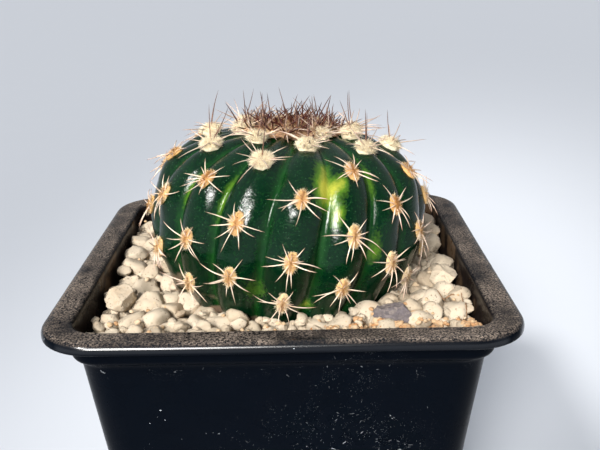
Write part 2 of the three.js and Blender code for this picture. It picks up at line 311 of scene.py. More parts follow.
potForm = {
    "corner": 11.0,  # radius of the lip's corners
    "lipDepth": 2.2,
    "rimTop": 4.7,
    "collarHalf": 40.0,
    "collarDepth": 6.4,
    "stepDepth": 8.4,
    "sideAtRim": 39.7,
    "taper": 0.1114,
    "sideCorner": 7.0,
    "wall": 1.0,
    "foot": 2.0,
    "footWidth": 3.6,
    "floor": 1.3,
    "drainRadius": 3.5,
    "drainSpacing": 16.0,
    "cornerSteps": 12,
    "sideSteps": 16,
    "footRound": 0.3,
    "baseRound": 0.9,
    "collarRound": 1.3,
    "underLipRound": 0.4,
    "lipRound": 1.4,
    "innerRound": 1.3,
    "sideRings": 24,
    "innerRings": 14,
    "bow": 0.35,  # how far the thin sides bow out of true
    "lipWave": 0.12,
}


def sideHalf(z):
    return potForm["sideAtRim"] - potForm["taper"] * (rimZ - z)


def squareOutline(half, corner):  # a rounded square: one corner and side, turned three times
    turn = np.linspace(0, math.pi / 2, potForm["cornerSteps"] + 1)
    flat = potForm["sideSteps"]
    reach = half - corner
    arc = reach + corner * np.stack([np.cos(turn), np.sin(turn)], 1)
    along = reach * (1 - 2 * np.arange(1, flat) / flat)
    quarters = [np.vstack([arc, np.stack([along, np.full(flat - 1, float(half))], 1)])]
    for _ in range(3):
        last = quarters[-1]
        quarters.append(np.stack([-last[:, 1], last[:, 0]], 1))
    return np.vstack(quarters)


def squareLoft(rings):
    outlines = [squareOutline(half, max(corner, 0.5)) for half, corner, z in rings]
    count = len(outlines[0])
    verts = np.column_stack([np.vstack(outlines), np.repeat([z for half, corner, z in rings], count)])
    faces = ringFaces(len(rings), count).tolist()
    faces.append(list(reversed(range(count))))
    faces.append(list(range((len(rings) - 1) * count, len(rings) * count)))
    return verts, faces


def arcRings(half, corner, z, radius, start, end, steps):
    # rings round an edge whose rounding has its middle at (half, z) of the wall's section
    rings = []
    for s in range(steps + 1):
        turn = (start + (end - start) * s / steps) * rad
        out = radius * math.cos(turn)
        rings.append((half + out, corner + out, z + radius * math.sin(turn)))
    return rings


def makePotMaterial():
    look = {
        "base": (0.0008, 0.0016, 0.0034, 1), "worn": (0.0012, 0.0028, 0.0060, 1),
        "dust": (0.36, 0.29, 0.235, 1), "speck": (0.44, 0.47, 0.50, 1), "stain": (0.125, 0.078, 0.045, 1),
        "wander": (0.012, 0.012, 0.012),  # how far the scuffs stray
    }
    m = Finish("nurseryPotPlastic", Specular_IOR_Level=0.03, Coat_Roughness=0.18)
    cloud = m.use(mottle, Scale=90.0, Contrast=0.28)
    base = m.tint(look["base"], cloud, 0.5, look["worn"])
    # round mud marks where stones have lain against the inner wall
    ragged = m.plus(m.cells(125.0)["Distance"], m.times(m.noise(700.0), 0.35))
    marks = m.times(m.spread(ragged, 0.48, 0.66, 1.0, 0.12), m.stored("inside"))
    base = m.tint(base, marks, 0.8, look["stain"])
    dust = m.use(settledDust, Scale=2600.0, Cover=1.3, Side_Share=0.002)
    base = m.tint(base, dust, 0.62, look["dust"])
    # short pale scuffs, thickest where the pot is dusty
    bend = m.put("ShaderNodeTexNoise", {"Vector": m.place, "Scale": 160.0}).outputs["Color"]
    turned = m.vectors("ADD", m.place, m.vectors("MULTIPLY", bend, look["wander"]))
    long = m.put("ShaderNodeMapping", {"Vector": turned, "Scale": (0.42, 0.42, 1.0)}).outputs[0]
    scuffs = m.use(fineSpecks, long, Scale=1000.0, Size=0.15, Spread=0.44)
    powder = m.use(fineSpecks, turned, Scale=3000.0, Size=0.20, Spread=0.45)
    lone = m.use(fineSpecks, turned, Scale=620.0, Size=0.09, Spread=0.44)
    thick = m.times(m.maths("MAXIMUM", scuffs, powder), m.spread(m.stored("dusty"), 0.25, 1.0))
    dots = m.maths("MAXIMUM", thick, lone)
    m.feed("Base Color", m.tint(base, dots, 0.7, look["speck"]))
    m.feed("Roughness", m.plus(m.spread(cloud, 0.0, 1.0, 0.22, 0.34), m.times(dust, 0.45)))
    clean = m.maths("SUBTRACT", 1.0, m.spread(dust, 0.02, 0.12))
    m.feed("Coat Weight", m.times(m.stored("lip"), clean))
    m.bump(m.plus(m.noise(700.0, 3.0), m.times(dust, 1.2)), 0.16, 0.00012)
    return m.material


def makePot():
    f = potForm
    wall, footWidth, collarHalf = f["wall"], f["footWidth"], f["collarHalf"]
    inner = rimHalf - f["rimTop"]
    innerWall = collarHalf - wall
    innerCorner = f["corner"] - f["rimTop"]
    collarCorner = f["corner"] - (rimHalf - collarHalf)
    base = sideHalf(0.0)
    floorTop = f["foot"] + f["floor"]
    lipBottom = rimZ - f["lipDepth"]
    collarBottom = rimZ - f["collarDepth"]
    stepBottom = rimZ - f["stepDepth"]
    stepHalf = sideHalf(stepBottom)
    corner = f["sideCorner"]
    footHalf, footCorner = base - footWidth, corner - footWidth
    rings = [
        (footHalf - 1.2, footCorner - 0.6, f["foot"]),
        (footHalf - 0.6, footCorner, f["foot"] - 0.1),
        (footHalf - 0.2, footCorner, 0.5),
    ]
    rings += arcRings(footHalf + 0.2, footCorner + 0.2, f["footRound"], f["footRound"], 180, 270, 4)
    rings += arcRings(base - 0.85, corner - 0.85, f["baseRound"], f["baseRound"], 270, 366, 7)
    for step in range(1, f["sideRings"]):
        z = f["baseRound"] + (stepBottom - f["baseRound"]) * step / f["sideRings"]
        rings.append((sideHalf(z), corner, z))
    rings += [(stepHalf + 0.02, corner, stepBottom), (stepHalf + 0.12, corner, stepBottom + 0.5),
              (stepHalf + 0.32, corner, stepBottom + 1.0)]
    edge = f["collarRound"]
    rings += arcRings(collarHalf - edge, collarCorner - edge, collarBottom + 0.55, edge, 302, 360, 6)
    rings += [(collarHalf, collarCorner, lipBottom - 1.2), (collarHalf + 0.03, collarCorner, lipBottom - 0.3),
              (collarHalf + 0.3, collarCorner + 0.3, lipBottom)]
    edge = f["underLipRound"]
    rings += arcRings(rimHalf - edge, f["corner"] - edge, lipBottom + edge, edge, 270, 360, 5)
    edge = f["lipRound"]
    rings += arcRings(rimHalf - edge, f["corner"] - edge, rimZ - edge, edge, 0, 90, 10)
    rings.append((rimHalf - f["rimTop"] * 0.5, f["corner"] - f["rimTop"] * 0.5, rimZ - 0.06))
    edge = f["innerRound"]
    rings += arcRings(inner, innerCorner, rimZ - edge, edge, 90, 180, 8)
    insideFrom = len(rings) - 3
    rings += [
        (innerWall + 0.02, innerCorner - edge, rimZ - 3.0),
        (innerWall, innerCorner - edge, collarBottom + 0.5),
        (innerWall - 0.3, innerCorner - edge, collarBottom),
        (stepHalf - wall + 0.3, corner - wall, stepBottom + 0.2),
    ]
    for step in range(1, f["innerRings"] + 1):
        z = stepBottom - (stepBottom - floorTop - 1.2) * step / f["innerRings"]
        rings.append((sideHalf(z) - wall, corner - wall, z))
    rings += [
        (sideHalf(floorTop) - wall - 0.25, corner - wall - 0.2, floorTop + 0.4),
        (sideHalf(floorTop) - wall - 1.1, corner - wall - 1, floorTop),
    ]
    verts, faces = squareLoft(rings)
    inside = np.repeat([1.0 if r >= insideFrom else 0.0 for r in range(len(rings))], len(verts) // len(rings))
    # the thin sides bow a little and are never quite flat
    x, y, z = verts[:, 0], verts[:, 1], verts[:, 2]
    high = np.clip(z / 25, 0, 1) * np.clip((rimZ - 9 - z) / 20, 0, 1)
    bow = f["bow"] * high * softNoise(verts, 60, 5)
    onSide = np.maximum(np.abs(x), np.abs(y)) + 1e-6
    verts[:, 0] += bow * np.where(np.abs(x) > np.abs(y), np.sign(x), 0) * (1 - (np.abs(y) / onSide) ** 4)
    verts[:, 1] += bow * np.where(np.abs(y) > np.abs(x), np.sign(y), 0) * (1 - (np.abs(x) / onSide) ** 4)
    wavy = f["lipWave"] * softNoise(verts, 70, 8) * np.clip((z - rimZ + 9) / 6, 0, 1) * (z > rimZ - 3)
    verts[:, 2] += wavy - 0.02 * (z > 1)
    x, y, z = verts[:, 0], verts[:, 1], verts[:, 2]
    dusty = bell(x - 9, 22) * bell(z - rimZ + 34, 20) * (y < -25)
    dusty = np.maximum(dusty, 0.85 * bell(z - rimZ + 9.5, 1.6) * (1 - inside))
    dusty = np.maximum(dusty, 0.5 * np.clip(softNoise(verts, 45, 71), 0, 1) * (1 - inside))
    outward = np.clip((np.maximum(np.abs(x), np.abs(y)) - rimHalf + 2.2) / 0.8, 0, 1)
    values = {
        "inside": inside * np.clip((z - rimZ + 9) / 2, 0, 1),
        "dusty": dusty,
        "lip": outward * np.clip((z - rimZ + 2.0) / 0.5, 0, 1),
    }
    piece = buildMesh("nurseryPot", verts, faces, makePotMaterial(), values)
    cutDrainHoles(piece)
    piece.data.set_sharp_from_angle(angle=40 * rad)
    return piece


def cutDrainHoles(piece):
    f = potForm
    heap = Heap()
    sides = 48
    turn = 2 * math.pi * np.arange(sides) / sides
    ring = f["drainRadius"] * np.stack([np.cos(turn), np.sin(turn)], 1)
    low, high = f["foot"] - 3, f["foot"] + f["floor"] + 3
    height = np.repeat([low, high], sides)
    caps = [list(reversed(range(sides))), list(range(sides, 2 * sides))]
    for side in ((0, 0), (1, 1), (-1, 1), (-1, -1), (1, -1)):
        spot = ring + np.array(side) * f["drainSpacing"]
        verts = np.column_stack([np.vstack([spot, spot]), height])
        heap.add(verts, [ringFaces(2, sides), caps], inside=0.0, dusty=0.0, lip=0.0)
    cutter = heap.piece("drainCutter")
    cut = piece.modifiers.new("drains", "BOOLEAN")
    cut.object = cutter
    cut.operation = "DIFFERENCE"
    cut.solver = "EXACT"
    bpy.context.view_layer.update()
    graph = bpy.context.evaluated_depsgraph_get()
    shown = piece.evaluated_get(graph)
    mesh = bpy.data.meshes.new_from_object(shown, preserve_all_data_layers=True, depsgraph=graph)
    piece.modifiers.clear()
    piece.data = mesh
    bpy.data.objects.remove(cutter)


pot = makePot()
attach(pot, "root")
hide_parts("pot")
print("pot built")


plantForm = {
    "ribs": 17,
    "place": (0.8, -0.25, rimZ + 6.4),  # middle of the widest level
    "leanBack": 4.0,
    "leanRight": 3.0,
    "radius": 29.9,
    "upperHeight": 21.4,
    "upperFullness": 3.0,
    "lowerHeight": 32.8,
    "lowerFullness": 1.5,
    "firstRib": 1.2,
    "wander": 1.0,
    "twist": 0.215,
    "twistGrowth": 0.006,
    "spiral": 7 / 17,
    "levelAtZero": 0.7,
    "step": 10.7,
    "stepGrowth": 1.17,
    "furrow": 2.25,
    "crease": 0.05,  # share of the furrow's depth that is a narrow crease
    "crestWidth": 0.55,
    "swelling": 0.55,
    "chinBelow": 1.3,  # how far below its areole a rib swells most
    "chinTall": 2.7,
    "seatTall": 1.3,
    "seatWide": 0.22,
    "seatDeep": 0.3,
    "wave": 0.18,
    "rootRadius": 4.5,
    "rootLength": 12.0,
    "lowestLevel": -40,  # where the skin gives way to the neck of the root
    "columnsPerRib": 22,
}


def outlineTable(tall, full):  # levels along the crest of a rib, with its radius and height there
    turn = np.linspace(0, math.pi / 2, 1600)
    r = plantForm["radius"] * np.abs(np.cos(turn)) ** (2 / full)
    z = tall * np.abs(np.sin(turn)) ** (2 / full)
    level = np.concatenate([[0], np.cumsum(np.hypot(np.diff(r), np.diff(z)))])
    return level, r, z


upperTable = outlineTable(plantForm["upperHeight"], plantForm["upperFullness"])
lowerTable = outlineTable(-plantForm["lowerHeight"], plantForm["lowerFullness"])
topLevel = float(upperTable[0][-1])


def crestAt(level):  # crest radius and height, both along the plant's own axis
    level = np.asarray(level, float)
    up, low = upperTable, lowerTable
    r, z = [np.where(level >= 0, np.interp(level, up[0], up[k]), np.interp(-level, low[0], low[k]))
            for k in (1, 2)]
    return r, z


def azimuthAt(ribAngle, level):
    f = plantForm
    fade = np.cos(ribAngle / 2 * rad) ** 2
    wander = f["wander"] * fade * np.sin(f["ribs"] / 4 * ribAngle * rad)
    return (f["firstRib"] + ribAngle + wander + (f["twist"] + f["twistGrowth"] * np.abs(level)) * level) * rad


def areoleLevel(step):
    f = plantForm
    return f["levelAtZero"] + f["step"] * step + f["stepGrowth"] * step * step


def stepOf(level):  # the inverse of areoleLevel
    f = plantForm
    inner = f["step"] ** 2 - 4 * f["stepGrowth"] * (f["levelAtZero"] - np.asarray(level, float))
    return (np.sqrt(np.maximum(inner, 4.0)) - f["step"]) / (2 * f["stepGrowth"])


def skinPoint(ribAngle, level):
    # place on the skin in the plant's own axes; both may be arrays
    f = plantForm
    ribAngle, level = np.broadcast_arrays(np.asarray(ribAngle, float), np.asarray(level, float))
    r, z = crestAt(level)
    rAhead, zAhead = crestAt(level + 0.2)
    rBack, zBack = crestAt(level - 0.2)
    along = np.stack([rAhead - rBack, zAhead - zBack])
    along = along / np.maximum(np.hypot(along[0], along[1]), 1e-9)
    outR, outZ = along[1], -along[0]
    share = ribAngle * f["ribs"] / 360
    rib = np.round(share)
    across = 2 * np.abs(share - rib)  # 0 on the crest, 1 in the furrow
    size = np.clip(r / f["radius"], 0, 1)
    lobe = (1 - f["crease"]) * across ** 2.1 + f["crease"] * bell(1 - across, 0.15)
    deep = f["furrow"] * lobe * size ** 1.05
    # each areole sits in a hollow above a swelling of its rib
    away = (np.mod(stepOf(level) - np.mod(rib * f["spiral"], 1.0) + 0.5, 1.0) - 0.5) * f["step"]
    chin = bell(away + f["chinBelow"], f["chinTall"])
    seat = bell(away, f["seatTall"]) * bell(across, f["seatWide"])
    rise = f["swelling"] * bell(across, f["crestWidth"]) * (chin - 0.35) - f["seatDeep"] * seat
    wave = np.sin(ribAngle * 0.07 + level * 0.21) * np.sin(ribAngle * 0.023 - level * 0.11 + 1.0)
    total = (rise + f["wave"] * wave) * size - deep
    turn = azimuthAt(ribAngle, level)
    reach = np.maximum(r + outR * total, 0.0)
    return np.stack([reach * np.sin(turn), -reach * np.cos(turn), z + outZ * total], axis=-1)


leanMatrix = (Matrix.Rotation(plantForm["leanRight"] * rad, 3, "Y")
              @ Matrix.Rotation(-plantForm["leanBack"] * rad, 3, "X"))
leanArray = np.array(leanMatrix)


def toPot(points):  # from the plant's own axes to the pot's
    return np.asarray(points, float) @ leanArray.T + np.array(plantForm["place"])


def toPlant(points):
    return (np.asarray(points, float) - np.array(plantForm["place"])) @ leanArray


def localAxes(ribAngle, level):
    # place on the skin with directions right, up along the rib and out of it, in the pot's axes
    up = unit(skinPoint(ribAngle, level + 0.6) - skinPoint(ribAngle, level - 0.6))
    side = skinPoint(ribAngle + 1.2, level) - skinPoint(ribAngle - 1.2, level)
    out = unit(np.cross(side, up))
    return toPot(skinPoint(ribAngle, level)), [leanArray @ v for v in (np.cross(up, out), up, out)]


mixLow, mixHigh = boxMm("potting_mix")

pumiceForm = {
    "stones": 700,
    "fillers": 2000,
    "smallest": 1.6,
    "largest": 3.2,
    "surface": 76.6,  # height of the dressing at the walls
    "seed": 41,
    "spread": 39.0,  # half the width that stones fall over
    "dropHeight": 28.0,
    "turns": 300,
    "fallTurns": 235,
    "fall": 0.3,
    "room": 0.88,  # share of the two radii at which stones touch
    "push": 0.42,
    "passes": 3,
    "pairEvery": 5,  # turns between two searches for neighbours
    "pairGap": 2.5,
    "giveWay": 1.6,  # how fast stones sink below a loose one
    "corner": 4.6,
    "wallGap": 0.35,
    "dip": 1.9,  # how much lower the dressing lies in front of the plant
    "dipWidth": 26.0,
    "fillerSizes": (0.65, 1.45),
    "stretch": ((1.0, 1.28), (0.92, 1.08), (0.74, 0.94)),
    "shownDepth": 6.0,  # deeper stones are plain ones
}
looseStones = ("slate_chip", "pumice_stone_left", "pumice_stone_right")
lowerCrest = crestAt(np.linspace(-44, 0, 60))  # the plant's outline from the root up to its widest level


def potReach(z):  # half the room inside the pot at a height
    wall, low = potForm["wall"], rimZ - potForm["stepDepth"]
    share = np.clip((np.asarray(z) - low) / (potForm["stepDepth"] - potForm["collarDepth"]), 0, 1)
    return (sideHalf(low) - wall) * (1 - share) + (potForm["collarHalf"] - wall) * share


def keepInPot(spot, size):
    corner = pumiceForm["corner"]
    reach = np.minimum(potReach(spot[:, 2] - size * 0.7), potReach(spot[:, 2])) - size * 1.08
    reach = reach - pumiceForm["wallGap"]
    spot[:, :2] = np.clip(spot[:, :2], -reach[:, None], reach[:, None])
    past = np.abs(spot[:, :2]) - (reach[:, None] - corner)
    far = np.hypot(past[:, 0], past[:, 1])
    out = (past > 0).all(1) & (far > corner)
    held = np.sign(spot[:, :2]) * (reach[:, None] - corner + past * (corner / np.maximum(far, 1e-6))[:, None])
    spot[:, :2] = np.where(out[:, None], held, spot[:, :2])


def keepOffPlant(spot, size):
    own = toPlant(spot)
    radius = np.hypot(own[:, 0], own[:, 1])
    crest = np.interp(own[:, 2], lowerCrest[1], lowerCrest[0])
    short = np.clip(crest + size * 0.80 - 0.6 - radius, 0, None)
    own[:, :2] *= (1 + short / np.maximum(radius, 1e-6))[:, None]
    spot[:] = toPot(own)


def settleStones():
    # drops balls into the pot round the plant and pushes overlapping ones apart
    f = pumiceForm
    source = np.random.default_rng(f["seed"])
    n, wide, ground = f["stones"], f["spread"], mixHigh[2]
    size = f["smallest"] + (f["largest"] - f["smallest"]) * source.beta(1.5, 2.2, n)
    spot = np.stack([source.uniform(-wide, wide, n), source.uniform(-wide, wide, n),
                     source.uniform(ground + 2, ground + f["dropHeight"], n)], 1)
    loose = [boxMiddle(node) for node in looseStones]
    for turn in range(f["turns"]):
        if turn < f["fallTurns"]:
            spot[:, 2] -= f["fall"]
        if turn % f["pairEvery"] == 0:
            gaps = np.linalg.norm(spot[:, None, :] - spot[None, :, :], axis=2)
            one, two = np.nonzero(np.triu(gaps < size[:, None] + size[None, :] + f["pairGap"], 1))
            room = (size[one] + size[two]) * f["room"]
        for _ in range(f["passes"]):
            apart = spot[one] - spot[two]
            gap = np.linalg.norm(apart, axis=1) + 1e-9
            push = apart * (f["push"] * np.clip(room - gap, 0, None) / gap)[:, None]
            np.add.at(spot, one, push)
            np.add.at(spot, two, -push)
            spot[:, 2] = np.maximum(spot[:, 2], ground + 0.3 + size * 0.85)
            keepInPot(spot, size)
            keepOffPlant(spot, size)
        for middle, half in loose:
            near = np.linalg.norm((spot - middle) / (half + size.mean() * 0.7), axis=1)
            spot[:, 2] -= np.clip(1.0 - near, 0, None) * f["giveWay"]
    keepInPot(spot, size)
    lower = f["dip"] * bell(spot[:, 0], f["dipWidth"]) * np.clip((-20 - spot[:, 1]) / 6, 0, 1)
    kept = spot[:, 2] + size * 0.9 < f["surface"] + 2.0 - lower
    return spot[kept], size[kept]


def addFillers(spot, size):
    # small stones that drop into the hollows between the large ones
    f = pumiceForm
    source = np.random.default_rng(77)
    newSpots, newSizes = [], []
    for _ in range(f["fillers"]):
        x, y = source.uniform(-f["spread"], f["spread"], 2)
        small = source.uniform(*f["fillerSizes"])
        near = np.hypot(spot[:, 0] - x, spot[:, 1] - y)
        under = near < (size + small) * 0.86
        if not under.any():
            continue
        rise = np.sqrt(np.maximum(((size + small) * 0.9)[under] ** 2 - near[under] ** 2, 0))
        z = float((spot[under, 2] + rise).max())
        unseen = not f["surface"] - 7 <= z <= f["surface"] - 0.9
        if unseen or any(math.dist(other, (x, y, z)) < small * 1.4 for other in newSpots):
            continue
        newSpots.append((x, y, z))
        newSizes.append(small)
    newSpots, newSizes = np.array(newSpots), np.array(newSizes)
    keepInPot(newSpots, newSizes)
    keepOffPlant(newSpots, newSizes)
    return np.vstack([spot, newSpots]), np.append(size, newSizes)


grainForm = {
    "wornSides": 13,
    "cut": (0.56, 0.88),
    "soften": 0.35,
    "lumps": (0.08, 0.9),  # height and size, as shares of a grain's radius
    "pits": (0.045, 0.36),
}


def makeStoneShapes(count, level, seed):
    # rough grains: a ball worn flat on many sides, softened and pitted
    f = grainForm
    shapes = []
    ball, faces = icoBall(level)
    neighbours = [set() for _ in ball]
    for face in faces.tolist():
        for corner in face:
            neighbours[corner].update(set(face) - {corner})
    table = [np.array(sorted(group)) for group in neighbours]
    (lumps, lumpSize), (pits, pitSize) = f["lumps"], f["pits"]
    for k in range(seed, seed + count):
        verts = wearFlat(ball, np.random.default_rng(k), f["wornSides"], *f["cut"])
        mean = np.array([verts[group].mean(0) for group in table])
        rough = lumps * softNoise(ball, lumpSize, k) + pits * softNoise(ball, pitSize, k + 50)
        verts = (verts * (1 - f["soften"]) + mean * f["soften"]) * (1 + rough)[:, None]
        shapes.append(verts / np.linalg.norm(verts, axis=1).mean())
    return shapes, faces


def turned(source, tilt):
    # a random turn about Z, a random tilt of at most tilt degrees and another turn about Z
    euler = Matrix.Rotation(source.uniform(0, 6.283), 3, "Z")
    axis = Vector((math.cos(source.uniform(0, 6.283)), math.sin(source.uniform(0, 6.283)), 0.01))
    lean = Matrix.Rotation(source.uniform(-tilt, tilt) * rad, 3, axis)
    spin = Matrix.Rotation(source.uniform(0, 6.283), 3, "Z")
    return np.array(euler @ lean @ spin)


def makePumiceMaterial():
    look = {
        "shade": (0.23, 0.170, 0.112, 1), "cream": (0.395, 0.320, 0.230, 1), "pale": (0.495, 0.420, 0.322, 1),
        "pore": (0.14, 0.10, 0.065, 1), "rust": (0.38, 0.21, 0.09, 1),
    }
    m = Finish("pumiceStone", Specular_IOR_Level=0.25, Roughness=0.92)
    body = m.ramp(m.stored("tone"), [(0.0, look["shade"]), (0.22, look["cream"]), (0.75, look["pale"])])
    body = m.tint(body, m.use(mottle, Scale=420.0, Contrast=0.2), 0.30, look["cream"])
    body = m.tint(body, m.spread(m.noise(160.0), 0.60, 0.78), 0.4, look["rust"])
    holes = m.spread(m.cells(1700.0)["Distance"], 0.14, 0.36, 1.0, 0.0)
    pores = m.times(holes, m.spread(m.noise(800.0, 2.0), 0.46, 0.62))
    m.feed("Base Color", m.tint(body, pores, 0.7, look["pore"]))
    fine = m.noise(1500.0, 6.0, 0.65)
    m.feed("Roughness", m.spread(fine, 0.3, 0.7, 0.84, 1.0))
    m.bump(m.maths("SUBTRACT", m.times(fine, 0.8), pores), 0.55, 0.00035)
    return m.material


stoneSpots, stoneSizes = settleStones()
settledCount = len(stoneSpots)
stoneSpots, stoneSizes = addFillers(stoneSpots, stoneSizes)
print("stones settled:", settledCount, "and", len(stoneSpots) - settledCount, "small ones")
pumiceMaterial = makePumiceMaterial()


def makePumice():
    f = pumiceForm
    source = np.random.default_rng(99)
    fine, fineFaces = makeStoneShapes(14, 3, 300)
    plain, plainFaces = makeStoneShapes(8, 2, 500)
    sectors = {name: Heap() for name in ("pumiceFront", "pumiceRight", "pumiceBack", "pumiceLeft")}
    for spot, size in zip(stoneSpots, stoneSizes):
        shown = spot[2] > f["surface"] - f["shownDepth"]
        shapes, faces = (fine, fineFaces) if shown else (plain, plainFaces)
        verts = shapes[source.integers(len(shapes))]
        stretch = size * np.array([source.uniform(low, high) for low, high in f["stretch"]])
        verts = (verts * stretch) @ turned(source, 28).T + spot
        reach = potReach(verts[:, 2])[:, None] + 0.3  # stones at the edge lie flat against the wall
        verts[:, :2] = np.clip(verts[:, :2], -reach, reach)
        x, y = spot[0], spot[1]
        if abs(x) > abs(y):
            name = "pumiceRight" if x > 0 else "pumiceLeft"
        else:
            name = "pumiceBack" if y > 0 else "pumiceFront"
        sectors[name].add(verts, [faces], tone=source.beta(3.0, 2.0))
    for name, heap in sectors.items():
        piece = heap.piece(name, pumiceMaterial)
        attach(piece, "root")
        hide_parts("pumice_bed")


makePumice()
print("pumice built")


def surfaceHeight(x, y):  # top of the settled stones under a point
    near = np.hypot(stoneSpots[:, 0] - x, stoneSpots[:, 1] - y)
    inside = near < stoneSizes * 0.95
    if not inside.any():
        return mixHigh[2] + 2
    rise = np.sqrt(stoneSizes[inside] ** 2 - near[inside] ** 2) * 0.85
    return float((stoneSpots[inside, 2] + rise).max())


gritForm = {
    "grains": 1100,
    "thickShare": 0.7,
    "patch": (23.0, -32.0),  # where the orange grit lies thickest
    "patchSize": (15.0, 5.0),
    "smallest": 0.28,
    "largest": 0.75,
    "stretch": (1.15, 1.0, 0.8),
    "wallGap": 1.2,
    "corner": 5.5,
}


def insidePot(x, y):
    corner = gritForm["corner"]
    reach = potForm["collarHalf"] - potForm["wall"] - gritForm["wallGap"]
    px, py = abs(x) - (reach - corner), abs(y) - (reach - corner)
    return max(px, py) <= corner and not (px > 0 and py > 0 and math.hypot(px, py) > corner)


def outsidePlant(x, y, z, margin):
    own = toPlant([[x, y, z]])[0]
    return math.hypot(own[0], own[1]) > float(np.interp(own[2], lowerCrest[1], lowerCrest[0])) + margin


def makeGritMaterial():
    look = {
        "orange": (0.40, 0.20, 0.08, 1), "tan": (0.52, 0.37, 0.22, 1), "cream": (0.62, 0.52, 0.38, 1),
        "dark": (0.20, 0.10, 0.05, 1),
    }
    m = Finish("brownGrit", Specular_IOR_Level=0.3)
    body = m.ramp(m.stored("tone"), [(0.0, look["orange"]), (0.5, look["tan"]), (1.0, look["cream"])])
    cloud = m.use(mottle, Scale=900.0, Contrast=0.25)
    m.feed("Base Color", m.tint(body, cloud, 0.4, look["dark"]))
    m.feed("Roughness", m.spread(cloud, 0, 1, 0.78, 0.96))
    m.bump(m.noise(2600.0), 0.4, 0.0002)
    return m.material


def makeGrit():
    f = gritForm
    source = np.random.default_rng(7)
    shapes, faces = makeStoneShapes(6, 2, 900)
    heap = Heap()
    for made in range(f["grains"]):
        thick = made < f["grains"] * f["thickShare"]
        if thick:
            x, y = [f["patch"][k] + source.normal() * f["patchSize"][k] * 0.6 for k in (0, 1)]
        else:
            x, y = source.uniform(-pumiceForm["spread"], pumiceForm["spread"], 2)
        size = f["smallest"] + (f["largest"] - f["smallest"]) * source.beta(1.5, 2.5)
        z = surfaceHeight(x, y)
        above = z - pumiceForm["surface"]
        if not -4 <= above <= 0.9 or not insidePot(x, y) or not outsidePlant(x, y, z, size + 0.3):
            continue
        verts = shapes[source.integers(len(shapes))] * size * np.array(f["stretch"])
        verts = verts @ turned(source, 40).T + np.array([x, y, z + size * 0.35])
        tone = source.beta(1.4, 2.6) if thick else source.beta(2.5, 1.5)
        heap.add(verts, [faces], tone=tone)
    piece = heap.piece("orangeGrit", makeGritMaterial())
    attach(piece, "root")
    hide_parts("pumice_bed")


makeGrit()
print("grit built")


def makeLooseStone(name, node, material, layered):
    # a larger stone with its own worn outline, fitted to its CAD node's box
    middle, half = boxMiddle(node)
    ball, faces = icoBall(5)
    verts = wearFlat(ball, np.random.default_rng(len(name) * 13), 14, 0.6, 0.9)
    if layered:
        steps = np.round(verts[:, 2] * 5 + 0.35 * softNoise(ball, 0.9, 3)) / 5
        verts[:, 2] = verts[:, 2] * 0.45 + steps * 0.55
        crack = np.abs(verts[:, 0] * 0.8 + verts[:, 1] * 0.5 + 0.22 + 0.12 * softNoise(ball, 0.6, 9))
        verts *= (1 - 0.10 * bell(crack, 0.05))[:, None]
    verts *= (1 + 0.035 * softNoise(ball, 0.6, 21) + 0.02 * softNoise(ball, 0.22, 22))[:, None]
    span = (verts.max(0) - verts.min(0)) / 2
    verts = (verts - (verts.max(0) + verts.min(0)) / 2) / span * half + middle
    piece = buildMesh(name, verts, faces, material, {"tone": np.full(len(verts), 0.55)})
    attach(piece, "root")
    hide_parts(node)


def makeSlateMaterial():
    look = {"deep": (0.058, 0.049, 0.052, 1), "face": (0.150, 0.128, 0.134, 1), "dust": (0.36, 0.30, 0.25, 1)}
    m = Finish("mauveSlate", Specular_IOR_Level=0.35)
    cloud = m.use(mottle, Scale=300.0, Contrast=0.22)
    dust = m.use(settledDust, Scale=900.0, Cover=0.9, Side_Share=0.3)
    m.feed("Base Color", m.tint(m.blend(cloud, look["deep"], look["face"]), dust, 0.6, look["dust"]))
    m.feed("Roughness", m.spread(cloud, 0, 1, 0.6, 0.85))
    m.bump(m.noise(1100.0, 7.0, 0.65), 0.5, 0.0003)
    return m.material


makeLooseStone("slateChip", "slate_chip", makeSlateMaterial(), True)
makeLooseStone("pumiceStoneLeft", "pumice_stone_left", pumiceMaterial, False)
makeLooseStone("pumiceStoneRight", "pumice_stone_right", pumiceMaterial, False)
print("loose stones built")


def makeMixMaterial():
    look = {
        "dark": (0.018, 0.011, 0.007, 1), "brown": (0.085, 0.050, 0.028, 1), "fleck": (0.45, 0.38, 0.28, 1),
    }
    m = Finish("pottingMix", Specular_IOR_Level=0.2)
    cloud = m.use(mottle, Scale=500.0, Contrast=0.2)
    flecks = m.use(fineSpecks, Scale=420.0, Size=0.42, Spread=0.5)
    m.feed("Base Color", m.blend(flecks, m.blend(cloud, look["dark"], look["brown"]), look["fleck"]))
    m.feed("Roughness", m.spread(cloud, 0, 1, 0.85, 1.0))
    m.bump(m.noise(700.0, 8.0, 0.7), 0.8, 0.0008)
    return m.material


def makePottingMix():
    low, high = mixLow[2], mixHigh[2]
    wall = potForm["wall"]
    rings = [(sideHalf(low) - wall - 8 + 2.4 * k, 4 + k, low + 0.05 * k) for k in range(3)]
    for step in range(15):
        z = low + 0.4 + (high - low - 0.6) * step / 14
        rings.append((sideHalf(z) - wall - 0.7, potForm["sideCorner"] - 1.2, z))
    rings += [(sideHalf(high) - 4.0 - 3 * k, 5.0 - k, high - 0.05 + 0.02 * k) for k in range(3)]
    verts, faces = squareLoft(rings)
    crumb = 0.28 * softNoise(verts, 4.5, 14) + 0.16 * softNoise(verts, 1.9, 15)
    verts[:, :2] -= unit(verts[:, :2]) * (0.2 + crumb)[:, None]
    piece = buildMesh("pottingMixBlock", verts, faces, makeMixMaterial())
    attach(piece, "root")
    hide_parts("potting_mix")


makePottingMix()
print("potting mix built")


